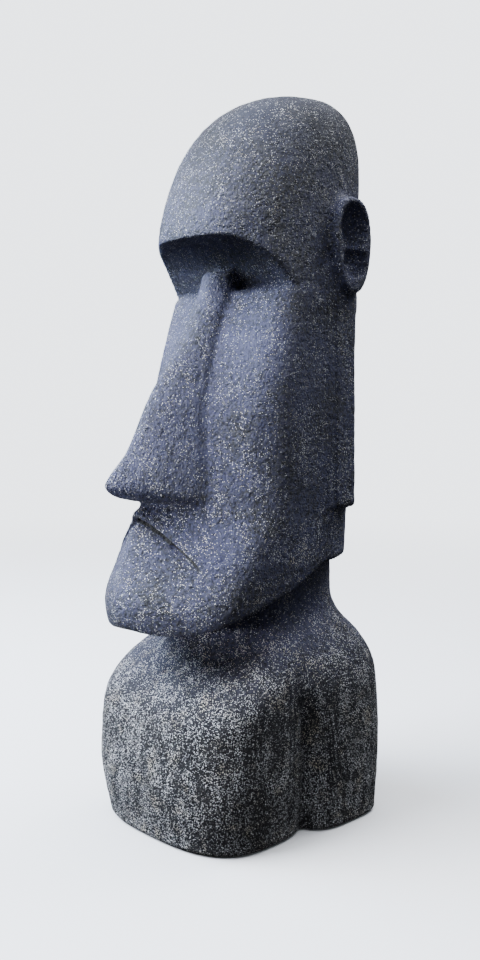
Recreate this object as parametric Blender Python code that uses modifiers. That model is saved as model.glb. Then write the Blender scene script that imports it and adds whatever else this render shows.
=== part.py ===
"""A moai head statue, one metre tall, cast as one block of stone.

The statue faces -Y and stands on z = 0, with its plane of symmetry at x = 0.
Torso and head are lofts of rings. Each ring lies where rays from the statue's
middle leave the stone, as a short rule says at that height. A prism cuts the
rising edge of the jaw and another the brow's shade. The torso, the nose and the
ears are joined to the head, and the mouth is cut last.
"""
import math

import bmesh
import bpy
import numpy as np

# ---------------------------------------------------------------- sizes, in metres
HEIGHT = 1.0

# Torso: a barrel chest in front, and behind it a slab that carries the arms.
# Each profile is (height, distance from the plane of symmetry or from y = 0).
CHEST_HALF = [(0.00, 0.134), (0.09, 0.145), (0.20, 0.145), (0.26, 0.140)]
CHEST_FRONT = [(0.00, -0.172), (0.09, -0.187), (0.20, -0.177), (0.26, -0.165)]
CHEST_BACK, CHEST_SQUARE = 0.020, [(0.0, 2.9), (0.12, 2.8)]
CHEST_TOP, CHEST_TOP_RISE, CHEST_ROUND = 0.214, 0.50, 0.045
ARMS_HALF = [(0.00, 0.152), (0.10, 0.157), (0.20, 0.156), (0.30, 0.145)]
ARMS_FRONT = [(0.00, -0.022), (0.12, -0.028), (0.20, -0.060), (0.30, -0.070)]
ARMS_BACK = [(0.00, 0.138), (0.12, 0.143), (0.20, 0.142), (0.30, 0.120)]
SHOULDER_TOP, SHOULDER_DROP, SHOULDER_ROUND = 0.298, 0.060, 0.07
CHEST_FOOT_ROUND, ARMS_FOOT_ROUND, SOLE = 0.010, 0.008, 0.0002
NECK_HALF, NECK_FRONT, NECK_BACK, NECK_TOP = 0.096, -0.112, 0.132, 0.40

# Head: two flat sides and a back that sweeps from nape to crown.
HEAD_HALF = [(0.25, 0.113), (0.30, 0.121), (0.36, 0.125), (0.60, 0.127), (0.72, 0.123),
             (0.80, 0.119), (1.0, 0.116)]
HEAD_BACK = [(0.25, 0.118), (0.36, 0.130), (0.50, 0.132), (0.65, 0.145), (0.80, 0.160),
             (1.0, 0.170)]
HEAD_MIDDLE = [(0.25, -0.045), (0.44, -0.010), (0.60, 0.023), (0.72, 0.028), (0.84, 0.035),
               (1.0, 0.065)]
BACK_SQUARE = 3.2

# Skull: it stands out over the face, and its crown is lower in front than behind.
# The brow's shade is cut straight across it: (y, height of the cut's ceiling).
SKULL_FRONT = [(0.70, -0.120), (0.78, -0.120), (0.89, -0.087), (1.0, -0.047)]
SKULL_SQUARE = 2.3
CROWN_START, CROWN_SQUARE, CROWN_FLAT = 0.84, (2.9, 2.5, 4.0), 0.40
CROWN_LEAN, CROWN_BACK = 0.113, 0.10
BROW_CUT = [(-0.140, 0.777), (-0.100, 0.776), (-0.087, 0.771), (-0.060, 0.7555),
            (-0.040, 0.736), (-0.025, 0.7174), (-0.010, 0.690)]

# Face: seen from above a prow, blunt at the cheekbones and pointed toward the chin.
# It lies PROW behind the front profile where it is PROW_AT from the plane of symmetry.
FACE_FRONT = [(0.25, -0.208), (0.27, -0.216), (0.30, -0.223), (0.35, -0.210), (0.40, -0.197),
              (0.44, -0.174), (0.56, -0.125), (0.64, -0.088), (0.72, -0.050)]
PROW = [(0.27, 0.064), (0.32, 0.067), (0.37, 0.080), (0.41, 0.094), (0.44, 0.086), (0.51, 0.064),
        (0.565, 0.046), (0.66, 0.026), (0.72, 0.016)]
PROW_AT, PROW_POWER = 0.110, [(0.32, 1.5), (0.37, 1.3), (0.41, 1.12), (0.46, 1.3), (0.56, 1.7)]
CORNER = [(0.30, 0.026), (0.50, 0.030), (0.72, 0.030)]
CHEEK_TOP = 0.713
JAW_EDGE = [(-0.25, 0.290), (-0.214, 0.276), (-0.195, 0.270), (-0.17, 0.274), (-0.12, 0.289),
            (-0.04, 0.309), (0.045, 0.346), (0.20, 0.352)]

# Nose: a wedge that widens and stands further out towards a slanting underside.
NOSE_RIDGE = [(0.40, -0.250), (0.455, -0.241), (0.50, -0.205), (0.56, -0.173), (0.69, -0.087),
              (0.76, -0.064)]
NOSE_HALF = [(0.44, 0.066), (0.50, 0.057), (0.60, 0.041), (0.66, 0.032), (0.76, 0.026)]
NOSE_POWER = [(0.44, 1.5), (0.50, 1.45), (0.60, 1.6), (0.68, 2.0)]
NOSE_FOOT, NOSE_FOOT_RISE, NOSE_FOOT_AT, NOSE_TOP, NOSE_STEP = 0.445, 0.20, -0.19, 0.740, 0.005

# Mouth: a line cut with a round tool, turned down at its corners.
MOUTH_MID, MOUTH_HALF, MOUTH_DROP, MOUTH_TOOL = 0.411, 0.078, 0.056, 0.0045

# Ear: an oval pad with two hollows, each (up from its middle, half width, half height),
# over a long lobe that hangs beside the jaw. The pad's face turns a little forward.
EAR_Y, EAR_Z, EAR_RY, EAR_RZ, EAR_SQUARE = 0.079, 0.777, 0.034, 0.067, 2.6
EAR_OUT, EAR_FLARE, EAR_IN = 0.137, 0.10, 0.090
HOLLOWS = [(0.023, 0.023, 0.034), (-0.021, 0.019, 0.020)]
HOLLOW_DEPTH = 0.016
LOBE_Y, LOBE_HALF, LOBE_OUT, LOBE_TOP, LOBE_BOTTOM = 0.064, 0.028, 0.1285, 0.750, 0.418

# How finely each piece is divided.
TORSO_COLUMNS, HEAD_COLUMNS, NOSE_COLUMNS = 60, 68, 16
TORSO_LEVELS = np.concatenate([[0.0, 0.003, 0.008], np.linspace(0.024, 0.15, 5),
                               np.linspace(0.17, 0.30, 11), [0.33, NECK_TOP]])
FACE_LEVELS = np.concatenate([np.linspace(0.25, 0.34, 6), np.linspace(0.37, 0.69, 10),
                              [CHEEK_TOP - 0.0003]])
SKULL_LEVELS = np.array([CHEEK_TOP + 0.0003, 0.735, 0.757, 0.778, 0.80, 0.82])
CROWN_RISES = np.sin(np.linspace(0.0, math.pi / 2, 9))
NOSE_LEVELS = np.linspace(0.42, NOSE_TOP, 14)


# ---------------------------------------------------------------- small tools
def along(value, stations):
    """Read a profile: a smooth curve through its stations that never overshoots them."""
    at, size = np.array(stations).T
    step = np.diff(at)
    rise = np.diff(size) / step
    slope = np.zeros(len(at))
    slope[0], slope[-1] = rise[0], rise[-1]
    steady = rise[:-1] * rise[1:] > 0
    safe = np.where(rise == 0, 1.0, rise)
    harmonic = 3 * (step[:-1] + step[1:]) / ((2 * step[1:] + step[:-1]) / safe[:-1]
                                             + (step[1:] + 2 * step[:-1]) / safe[1:])
    slope[1:-1] = np.where(steady, harmonic, 0.0)
    value = np.clip(value, at[0], at[-1])
    i = np.clip(np.searchsorted(at, value, side="right") - 1, 0, len(step) - 1)
    t = (value - at[i]) / step[i]
    return (size[i] * (1 + 2 * t) * (1 - t) ** 2 + size[i + 1] * t * t * (3 - 2 * t)
            + step[i] * (slope[i] * t * (1 - t) ** 2 + slope[i + 1] * t * t * (t - 1)))


def new_object(name, mesh, collection):
    """Put a mesh in a collection as an object of its own."""
    thing = bpy.data.objects.new(name, mesh)
    collection.objects.link(thing)
    if collection.name == "cutters":
        thing.hide_render = True
        thing.display_type = "WIRE"
    return thing


def loft(name, rings):
    """A closed mesh through rings of equal length, bottom to top, with flat ends."""
    rows, columns = rings.shape[:2]
    faces = [tuple(range(columns))[::-1]]
    for row in range(rows - 1):
        for column in range(columns):
            after = (column + 1) % columns
            faces.append((row * columns + column, row * columns + after,
                          (row + 1) * columns + after, (row + 1) * columns + column))
    faces.append(tuple(range((rows - 1) * columns, rows * columns)))
    mesh = bpy.data.meshes.new(name)
    mesh.from_pydata(rings.reshape(-1, 3).tolist(), [], faces)
    mesh.shade_smooth()
    return mesh


def prism(name, outline, half_width):
    """A flat outline in the Y-Z plane, given as (y, z), made solid across X."""
    sides = [[(x, y, z) for y, z in outline] for x in (half_width, -half_width)]
    return loft(name, np.array(sides))


def combine(statue, operand, operation):
    """Add an operand to the statue, or take it away, as the next modifier."""
    step = statue.modifiers.new(operand.name, "BOOLEAN")
    step.object = operand
    step.operation = operation
    step.solver = "EXACT"


# ---------------------------------------------------------------- torso and neck
def join(a, b, fillet):
    """Stone where either rule has stone, with a fillet in the angle between them."""
    near = np.maximum(fillet - np.abs(a - b), 0.0)
    return np.minimum(a, b) - near * near / (4 * fillet)


def trim(a, b, round_over):
    """Stone only where both rules have stone, with the edge between them rounded."""
    return -join(-a, -b, round_over)


def oval(x, y, half, front, back, square):
    """How far a point lies outside an oval plan: below 0 inside it."""
    middle, deep = (front + back) / 2, (back - front) / 2
    ring = ((np.abs(x) / half) ** square + (np.abs(y - middle) / deep) ** square) ** (1 / square)
    return (ring - 1) * np.minimum(half, deep)


def torso_rule(x, y, z):
    """The chest, the arms behind their groove, and the neck: below 0 inside the stone."""
    chest = oval(x, y, along(z, CHEST_HALF), along(z, CHEST_FRONT), CHEST_BACK,
                 along(z, CHEST_SQUARE))
    chest = trim(chest, 0.9 * (z - CHEST_TOP - CHEST_TOP_RISE * (y + 0.12)), CHEST_ROUND)
    chest = trim(chest, -z, CHEST_FOOT_ROUND)
    arms = oval(x, y, along(z, ARMS_HALF), along(z, ARMS_FRONT), along(z, ARMS_BACK), 4.0)
    arms = trim(arms, z - SHOULDER_TOP + SHOULDER_DROP * (x / 0.165) ** 2, SHOULDER_ROUND)
    arms = trim(arms, -z, ARMS_FOOT_ROUND)
    neck = oval(x, y, NECK_HALF, NECK_FRONT, NECK_BACK, 2.4)
    return join(join(chest, arms, 0.006), neck, 0.02)


def rings_of(rule, levels, columns, middle_y):
    """Rings at set levels: on each column's ray, halve the step until it meets the surface."""
    level, turn = np.meshgrid(levels, np.arange(columns) * math.tau / columns, indexing="ij")
    middle = along(level, middle_y)
    inner, outer = np.zeros(level.shape), np.full(level.shape, 0.4)
    for _ in range(30):
        reach = (inner + outer) / 2
        inside = rule(np.sin(turn) * reach, middle - np.cos(turn) * reach, level) < 0
        inner, outer = np.where(inside, reach, inner), np.where(inside, outer, reach)
    return np.stack([np.sin(turn) * inner, middle - np.cos(turn) * inner, level], axis=-1)


def torso_rings():
    """The foot's ring is taken a hair above the sole, where the worn edge has begun."""
    rings = rings_of(torso_rule, np.maximum(TORSO_LEVELS, SOLE), TORSO_COLUMNS,
                     [(0.0, 0.03), (0.30, 0.0)])
    rings[0, :, 2] = 0.0
    return rings


# ---------------------------------------------------------------- head
def head_plan(x, y, z, front, square, shrink=(1.0, 1.0, 1.0)):
    """Two half ovals that share a middle: below 0 inside. The three shrinks narrow the
    sides, the front and the back."""
    middle, half = along(z, HEAD_MIDDLE), along(z, HEAD_HALF) * shrink[0]
    ahead = y < middle
    deep = np.where(ahead, (middle - front) * shrink[1],
                    (along(z, HEAD_BACK) - middle) * shrink[2])
    power = np.where(ahead, square, BACK_SQUARE)
    ring = ((np.abs(x) / half) ** power + (np.abs(y - middle) / deep) ** power) ** (1 / power)
    return (ring - 1) * np.minimum(half, deep)


def face_rule(x, y, z):
    """Two sides and the back of the head's plan, cut in front to the prow."""
    middle, half = along(z, HEAD_MIDDLE), along(z, HEAD_HALF)
    sides = np.where(y < middle, np.abs(x) - half, head_plan(x, y, z, -0.2, 2.0))
    prow = along(z, PROW)
    front = along(z, FACE_FRONT) + prow * (np.abs(x) / PROW_AT) ** along(z, PROW_POWER) - y
    return trim(sides, front / np.hypot(1, prow / PROW_AT), along(z, CORNER))


def skull_rule(x, y, z):
    """The skull's plan, before the brow's shade is cut from it."""
    return head_plan(x, y, z, along(z, SKULL_FRONT), SKULL_SQUARE)


def crown_level(y, rise):
    """The height of a share of the crown's rise. In front the crown leans down."""
    lean = 1 + CROWN_LEAN * np.clip(CROWN_BACK - y, 0, 0.2) / (HEIGHT - CROWN_START)
    return CROWN_START + rise * (HEIGHT - CROWN_START) / lean


def crown_rule(x, y, rise):
    """The skull's plan at a share of the crown's rise, shrunk as a dome shrinks."""
    z = crown_level(y, rise)
    shrink = []
    for square in CROWN_SQUARE:
        last = (1 - CROWN_FLAT ** square) ** (1 / square)
        shrink.append((1 - (last * rise) ** square) ** (1 / square))
    return head_plan(x, y, z, along(z, SKULL_FRONT), SKULL_SQUARE, shrink)


def head_rings():
    """Rings of the face, then of the skull that overhangs it, then of the round crown."""
    face = rings_of(face_rule, FACE_LEVELS, HEAD_COLUMNS, HEAD_MIDDLE)
    skull = rings_of(skull_rule, SKULL_LEVELS, HEAD_COLUMNS, HEAD_MIDDLE)
    middle = [(0.0, along(CROWN_START, HEAD_MIDDLE)), (1.0, along(HEIGHT, HEAD_MIDDLE))]
    crown = rings_of(crown_rule, CROWN_RISES, HEAD_COLUMNS, middle)
    centre = crown[-1].mean(axis=0)
    top = [centre + share * (crown[-1] - centre) for share in (0.55, 0.12)]
    crown = np.concatenate([crown, np.array(top)])
    crown[..., 2] = crown_level(crown[..., 1], np.minimum(crown[..., 2], 1.0))
    return np.concatenate([face, skull, crown])


def jaw_cutter(collection):
    """All that lies under the jaw's edge, which rises from the chin to the ears."""
    y = np.linspace(JAW_EDGE[0][0], JAW_EDGE[-1][0], 22)
    outline = list(zip(y, along(y, JAW_EDGE))) + [(y[-1], 0.20), (y[0], 0.20)]
    return new_object("under_the_jaw", prism("under_the_jaw", outline, 0.2), collection)


def brow_cutter(collection):
    """The shade over the eyes, level with the cheeks below and curved above. Its floor
    lies a hair under the cheeks' last ring, so no sliver is left standing on them."""
    floor, out_y = CHEEK_TOP - 0.0006, -0.20
    y = np.linspace(-0.010, BROW_CUT[0][0], 27)
    ceiling = along(y, BROW_CUT)
    deepest = float(np.interp(floor, ceiling, y))
    above = ceiling > floor + 0.001
    outline = [(deepest, floor)] + list(zip(y[above], ceiling[above]))
    outline += [(out_y, ceiling[-1]), (out_y, floor)]
    return new_object("brow_shade", prism("brow_shade", outline[::-1], 0.2), collection)


def nose(collection):
    """Level sections whose front is a rounded wedge, cut below to a slanting underside."""
    across = np.linspace(-1, 1, NOSE_COLUMNS + 1)
    rings = []
    for z in NOSE_LEVELS:
        ridge, half = along(z, NOSE_RIDGE), along(z, NOSE_HALF)
        cheek = along(z, FACE_FRONT) + along(z, PROW) * (half / PROW_AT) ** along(z, PROW_POWER)
        depth = max(cheek - NOSE_STEP - ridge, 0.004)
        y = ridge + depth * np.abs(across) ** along(z, NOSE_POWER)
        front = np.stack([across * half, y, np.full_like(y, z)], axis=-1)
        behind = [(half, 0.02, z), (-half, 0.02, z)]
        rings.append(np.concatenate([front, behind]))
    mesh = loft("nose", np.array(rings))
    edit = bmesh.new()
    edit.from_mesh(mesh)
    cut = bmesh.ops.bisect_plane(edit, geom=edit.verts[:] + edit.edges[:] + edit.faces[:],
                                 plane_co=(0.0, NOSE_FOOT_AT, NOSE_FOOT),
                                 plane_no=(0.0, -NOSE_FOOT_RISE, -1.0), clear_outer=True)
    bmesh.ops.edgeloop_fill(edit, edges=[e for e in cut["geom_cut"]
                                         if isinstance(e, bmesh.types.BMEdge)])
    bmesh.ops.recalc_face_normals(edit, faces=edit.faces[:])
    edit.to_mesh(mesh)
    edit.free()
    return new_object("nose", mesh, collection)


def mouth_cutter(collection):
    """A round tool run along the frown, on the face's own surface, finer at the corners."""
    out = np.linspace(-1, 1, 25)
    x = out * MOUTH_HALF
    z = MOUTH_MID - MOUTH_DROP * np.abs(out) ** 1.15
    y = along(z, FACE_FRONT) + along(z, PROW) * (np.abs(x) / PROW_AT) ** along(z, PROW_POWER)
    path = bpy.data.curves.new("mouth_path", "CURVE")
    path.dimensions = "3D"
    path.bevel_depth = MOUTH_TOOL
    path.bevel_resolution = 2
    path.use_fill_caps = True
    spline = path.splines.new("POLY")
    spline.points.add(len(out) - 1)
    for point, place, side in zip(spline.points, zip(x, y, z), out):
        point.co = (*place, 1.0)
        point.radius = 1.0 - 0.6 * abs(side) ** 2
    tube = new_object("mouth_path", path, collection)
    mesh = bpy.data.meshes.new_from_object(tube.evaluated_get(bpy.context.evaluated_depsgraph_get()))
    bpy.data.objects.remove(tube, do_unlink=True)
    edit = bmesh.new()
    edit.from_mesh(mesh)
    bmesh.ops.remove_doubles(edit, verts=edit.verts[:], dist=0.00005)
    bmesh.ops.recalc_face_normals(edit, faces=edit.faces[:])
    edit.to_mesh(mesh)
    edit.free()
    return new_object("mouth", mesh, collection)


# ---------------------------------------------------------------- ears
def ear_pad(collection, segments=32):
    """A squarish oval block whose outer face turns forward, with its outer edge rounded."""
    edit = bmesh.new()
    bmesh.ops.create_cone(edit, cap_ends=True, segments=segments, radius1=1.0, radius2=1.0,
                          depth=2.0)
    for vertex in edit.verts:
        up, back, side = vertex.co
        swell = (abs(up) ** EAR_SQUARE + abs(back) ** EAR_SQUARE) ** (-1 / EAR_SQUARE)
        narrow = 1 - 0.22 * max(-up * swell, 0.0)
        y = back * swell * EAR_RY * narrow
        out = EAR_OUT + EAR_FLARE * y if side > 0 else EAR_IN
        vertex.co = (out, EAR_Y + y, EAR_Z + up * swell * EAR_RZ)
    bmesh.ops.recalc_face_normals(edit, faces=edit.faces[:])
    mesh = bpy.data.meshes.new("ears")
    edit.to_mesh(mesh)
    edit.free()
    block = new_object("ears", mesh, collection)
    edge = block.modifiers.new("Round edge", "BEVEL")
    edge.width = 0.005
    edge.segments = 2
    edge.limit_method = "ANGLE"
    return block


def ball(name, centre, radii, collection):
    """An egg-shaped cutter for a hollow."""
    edit = bmesh.new()
    bmesh.ops.create_uvsphere(edit, u_segments=16, v_segments=10, radius=1.0)
    for vertex in edit.verts:
        vertex.co = [c + r * v for c, r, v in zip(centre, radii, vertex.co)]
    mesh = bpy.data.meshes.new(name)
    edit.to_mesh(mesh)
    edit.free()
    return new_object(name, mesh, collection)


def ears(collection):
    """One ear built at +X and mirrored: a pad less its hollows, and the lobe below it."""
    pad = ear_pad(collection)
    for number, (up, across, tall) in enumerate(HOLLOWS):
        hollow = ball(f"ear_hollow_{number}", (EAR_OUT, EAR_Y, EAR_Z + up),
                      (HOLLOW_DEPTH, across, tall), collection)
        combine(pad, hollow, "DIFFERENCE")
    edit = bmesh.new()
    bmesh.ops.create_cube(edit, size=2.0)
    for vertex in edit.verts:
        x, y, z = vertex.co
        vertex.co = ((LOBE_OUT + EAR_IN) / 2 + x * (LOBE_OUT - EAR_IN) / 2,
                     LOBE_Y + y * LOBE_HALF,
                     (LOBE_TOP + LOBE_BOTTOM) / 2 + z * (LOBE_TOP - LOBE_BOTTOM) / 2)
    mesh = bpy.data.meshes.new("ear_lobe")
    edit.to_mesh(mesh)
    edit.free()
    lobe = new_object("ear_lobe", mesh, collection)
    edge = lobe.modifiers.new("Round edge", "BEVEL")
    edge.width = 0.004
    edge.segments = 2
    combine(pad, lobe, "UNION")
    mirror = pad.modifiers.new("Both sides", "MIRROR")
    mirror.merge_threshold = 0.0001
    return pad


# ---------------------------------------------------------------- the statue
def charcoal_stone():
    """Dark, rough, slightly blue cast stone."""
    material = bpy.data.materials.new("charcoal_stone")
    material.use_nodes = True
    shader = material.node_tree.nodes["Principled BSDF"]
    shader.inputs["Base Color"].default_value = (0.045, 0.048, 0.062, 1.0)
    shader.inputs["Roughness"].default_value = 0.75
    shader.inputs["Metallic"].default_value = 0.0
    material.diffuse_color = (0.045, 0.048, 0.062, 1.0)
    return material


def build():
    """Clear the scene and make the one solid, in a collection named for it."""
    for old in list(bpy.data.objects):
        bpy.data.objects.remove(old, do_unlink=True)
    parts = bpy.data.collections.new("moai_head_statue")
    cutters = bpy.data.collections.new("cutters")
    for collection in (parts, cutters):
        bpy.context.scene.collection.children.link(collection)
    statue = new_object("moai_statue", loft("moai_statue", head_rings()), parts)
    statue.data.materials.append(charcoal_stone())
    combine(statue, jaw_cutter(cutters), "DIFFERENCE")
    combine(statue, brow_cutter(cutters), "DIFFERENCE")
    combine(statue, new_object("torso", loft("torso", torso_rings()), cutters), "UNION")
    combine(statue, nose(cutters), "UNION")
    combine(statue, ears(cutters), "UNION")
    combine(statue, mouth_cutter(cutters), "DIFFERENCE")


build()
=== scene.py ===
# %% [markdown]
# # A stone head statue, one metre tall
# The real statue is one block, carved or cast: a long head with a slanted brow and a wedge
# nose, on a short torso cut flat below. Its whole skin looks pecked by a pointed tool, and
# the dark charcoal finish is flecked with pale specks.
# This notebook loads the plain solid as a fixed frame. It then makes one finely divided
# skin over the same shape, gives it the pecked relief and the stone finish, and lights it.

# %% Load the frame
import math

import bpy
import numpy as np
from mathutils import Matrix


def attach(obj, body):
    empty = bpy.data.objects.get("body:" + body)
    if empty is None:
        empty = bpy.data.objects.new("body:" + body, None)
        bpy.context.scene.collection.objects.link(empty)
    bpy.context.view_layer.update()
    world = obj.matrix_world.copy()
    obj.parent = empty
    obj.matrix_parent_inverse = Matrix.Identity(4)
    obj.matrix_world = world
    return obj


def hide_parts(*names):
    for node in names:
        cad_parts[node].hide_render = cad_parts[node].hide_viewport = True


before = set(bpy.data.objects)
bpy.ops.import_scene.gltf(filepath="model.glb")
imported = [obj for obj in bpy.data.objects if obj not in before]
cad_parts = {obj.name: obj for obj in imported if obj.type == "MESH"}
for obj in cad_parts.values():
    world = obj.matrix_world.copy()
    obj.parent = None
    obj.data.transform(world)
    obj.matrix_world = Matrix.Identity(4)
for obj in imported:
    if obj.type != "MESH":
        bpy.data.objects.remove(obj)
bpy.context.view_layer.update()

# %% [markdown]
# ## Reading a profile
# A carver works from a few measured sizes and joins them by eye into a fair curve. The
# same is done here: each profile is a short list of stations, and a smooth curve runs
# through them. The curve used never swings past a station, so a profile can't bulge
# where nobody meant it to.

# %% A fair curve through stations
def along(value, stations):
    """Each span is a cubic. Its end slopes are the weighted harmonic mean of the two
    neighbouring rises, or zero at a turning point, so it never overshoots."""
    at, size = np.array(stations).T
    step = np.diff(at)
    rise = np.diff(size) / step
    slope = np.zeros(len(at))
    slope[0], slope[-1] = rise[0], rise[-1]
    steady = rise[:-1] * rise[1:] > 0
    safe = np.where(rise == 0, 1.0, rise)
    harmonic = 3 * (step[:-1] + step[1:]) / ((2 * step[1:] + step[:-1]) / safe[:-1]
                                             + (step[1:] + 2 * step[:-1]) / safe[1:])
    slope[1:-1] = np.where(steady, harmonic, 0.0)
    value = np.clip(value, at[0], at[-1])
    i = np.clip(np.searchsorted(at, value, side="right") - 1, 0, len(step) - 1)
    t = (value - at[i]) / step[i]
    return (size[i] * (1 + 2 * t) * (1 - t) ** 2 + size[i + 1] * t * t * (3 - 2 * t)
            + step[i] * (slope[i] * t * (1 - t) ** 2 + slope[i + 1] * t * t * (t - 1)))


print("half way between 0 and 1:", along(np.array([0.5]), [(0.0, 0.0), (1.0, 1.0)]))

# %% [markdown]
# ## Stone described by rules
# One block of stone has fillets and worn edges wherever two shapes meet. A mesh made of
# separate lofts would need a bevel at each meeting, and those lines wander over the form.
# Here each form is a rule that gives a number: below zero inside the stone, above zero
# outside it. Two rules are joined by taking the smaller number, or cut by taking the
# larger, and a small correction where the two are nearly equal makes the fillet.

# %% Joining and trimming
def join(a, b, fillet):
    """The smaller of a and b, less (fillet - |a - b|) squared over 4 fillets where they
    lie closer than one fillet."""
    near = np.maximum(fillet - np.abs(a - b), 0.0)
    return np.minimum(a, b) - near * near / (4 * fillet)


def trim(a, b, round_over):
    """The larger of a and b, with the edge between them rounded the same way."""
    return -join(-a, -b, round_over)


def swell(value, middle, width):
    """A bell of height 1 at its middle: e to the power of minus the squared distance in
    widths."""
    return np.exp(-((value - middle) / width) ** 2)


# A slanted cut is written as a difference of heights, which is more than the distance to
# the cut. This scale brings it nearer to the distance, so that its fillets come out right.
SLANT = 0.9
print("two equal rules join", -join(0.0, 0.0, 0.008) * 1000, "mm proud with an 8 mm fillet")

# %% [markdown]
# ## The torso
# The chest is a barrel in front, and behind it a squarer slab carries the arms. The
# groove between them is all that marks the arm. Each is a plan that changes with height:
# an oval whose power sets how square it is, 2 for a plain ellipse and 4 for a rounded
# box, so one formula serves for both. The neck is a third oval, set back under the jaw.

# %% Chest, arms and neck
CHEST_HALF = [(0.00, 0.134), (0.09, 0.145), (0.20, 0.145), (0.26, 0.140)]
CHEST_FRONT = [(0.00, -0.172), (0.09, -0.187), (0.20, -0.177), (0.26, -0.165)]
CHEST_BACK, CHEST_SQUARE = 0.020, [(0.0, 2.9), (0.12, 2.8)]
CHEST_TOP, CHEST_TOP_RISE, CHEST_TOP_AT, CHEST_ROUND = 0.214, 0.50, -0.12, 0.045
ARMS_HALF = [(0.00, 0.152), (0.10, 0.157), (0.20, 0.156), (0.30, 0.145)]
ARMS_FRONT = [(0.00, -0.022), (0.12, -0.028), (0.20, -0.060), (0.30, -0.070)]
ARMS_BACK = [(0.00, 0.138), (0.12, 0.143), (0.20, 0.142), (0.30, 0.120)]
ARMS_SQUARE, ARM_FILLET = 4.0, 0.006
SHOULDER_TOP, SHOULDER_DROP, SHOULDER_OUT, SHOULDER_ROUND = 0.298, 0.060, 0.165, 0.07
CHEST_FOOT_ROUND, ARMS_FOOT_ROUND = 0.010, 0.008
NECK_HALF, NECK_FRONT, NECK_BACK, NECK_SQUARE = 0.096, -0.112, 0.132, 2.4
NECK_LEVEL, NECK_REACH, NECK_ROUND, NECK_FILLET = 0.28, 0.15, 0.01, 0.02


def oval(x, y, half, front, back, square):
    """(|x| over half) and (|y - middle| over depth), each to a power, added and rooted:
    1 on the oval. Less 1 and times the smaller radius it is close to a distance."""
    middle, deep = (front + back) / 2, (back - front) / 2
    ring = ((np.abs(x) / half) ** square
            + (np.abs(y - middle) / deep) ** square) ** (1 / square)
    return (ring - 1) * np.minimum(half, deep)


def torso(x, y, z):
    """The chest under its sloping top, joined to the arms and to the neck. The shoulder
    drops by its fall times the squared share of the way out."""
    chest = oval(x, y, along(z, CHEST_HALF), along(z, CHEST_FRONT), CHEST_BACK,
                 along(z, CHEST_SQUARE))
    chest = trim(chest, SLANT * (z - CHEST_TOP - CHEST_TOP_RISE * (y - CHEST_TOP_AT)),
                 CHEST_ROUND)
    chest = trim(chest, -z, CHEST_FOOT_ROUND)
    arms = oval(x, y, along(z, ARMS_HALF), along(z, ARMS_FRONT), along(z, ARMS_BACK),
                ARMS_SQUARE)
    arms = trim(arms, z - SHOULDER_TOP + SHOULDER_DROP * (x / SHOULDER_OUT) ** 2,
                SHOULDER_ROUND)
    arms = trim(arms, -z, ARMS_FOOT_ROUND)
    neck = oval(x, y, NECK_HALF, NECK_FRONT, NECK_BACK, NECK_SQUARE)
    neck = trim(neck, np.abs(z - NECK_LEVEL) - NECK_REACH, NECK_ROUND)
    return join(join(chest, arms, ARM_FILLET), neck, NECK_FILLET)


print("arms", 2 * max(half for _, half in ARMS_HALF), "m across")

# %% [markdown]
# ## The head's plan
# One plan serves the whole head, so that the back runs in one sweep from nape to crown.
# Its front changes: a pointed oval at the chin, nearly square at the cheekbones, and
# above them the skull, which stands out over the face as the brow.

# %% Plan of the head
HEAD_HALF = [(0.25, 0.113), (0.30, 0.121), (0.36, 0.125), (0.60, 0.127), (0.72, 0.123),
             (0.80, 0.119), (1.0, 0.116)]
HEAD_BACK = [(0.25, 0.118), (0.36, 0.130), (0.50, 0.132), (0.65, 0.145), (0.80, 0.160),
             (1.0, 0.170)]
HEAD_MIDDLE = [(0.25, -0.045), (0.44, -0.010), (0.60, 0.023), (0.72, 0.028), (0.84, 0.035),
               (1.0, 0.065)]
BACK_SQUARE = 3.2


def head_plan(x, y, z, front, square, shrink=(1.0, 1.0, 1.0)):
    """Two half ovals that share a middle, each with its own depth and squareness. The
    three shrinks narrow the sides, the front and the back."""
    middle, half = along(z, HEAD_MIDDLE), along(z, HEAD_HALF) * shrink[0]
    ahead = y < middle
    deep = np.where(ahead, (middle - front) * shrink[1],
                    (along(z, HEAD_BACK) - middle) * shrink[2])
    power = np.where(ahead, square, BACK_SQUARE)
    ring = ((np.abs(x) / half) ** power
            + (np.abs(y - middle) / deep) ** power) ** (1 / power)
    return (ring - 1) * np.minimum(half, deep)


print("head", 2 * max(half for _, half in HEAD_HALF), "m across")

# %% [markdown]
# ## Skull and brow
# The crown closes the plan in a dome that is lower in front, with a small flat on top. It
# shrinks the same plan, because a separate cap would break the sweep of the back.
# The brow's shade is one hollow cut made straight across. It is level at the brow's edge
# and curves down to the cheeks, so on the round skull its edge drops at the temples.

# %% Skull
HEIGHT = 1.0
SKULL_FRONT = [(0.70, -0.120), (0.78, -0.120), (0.89, -0.087), (1.0, -0.047)]
SKULL_SQUARE, SKULL_SUNK, SKULL_ROUND = 2.3, 0.05, 0.004
CROWN_START, CROWN_SQUARE, CROWN_FLAT, CROWN_ROUND = 0.84, (2.9, 2.5, 4.0), 0.40, 0.004
CROWN_LEAN, CROWN_BACK, CROWN_LEAN_REACH = 0.113, 0.10, 0.2
CHEEK_TOP = 0.713
BROW_CUT = [(-0.140, 0.777), (-0.100, 0.776), (-0.087, 0.771), (-0.060, 0.7555),
            (-0.040, 0.736), (-0.025, 0.7174), (-0.010, 0.690)]
BROW_SLANT, BROW_ROUND = 0.7, 0.003


def dome(rise, square):
    """How far the plan has shrunk, 1 down to the flat: 1 less the rise to a power, and
    the same power's root taken of what is left."""
    last = (1 - CROWN_FLAT ** square) ** (1 / square)
    return (1 - (last * rise) ** square) ** (1 / square)


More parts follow.
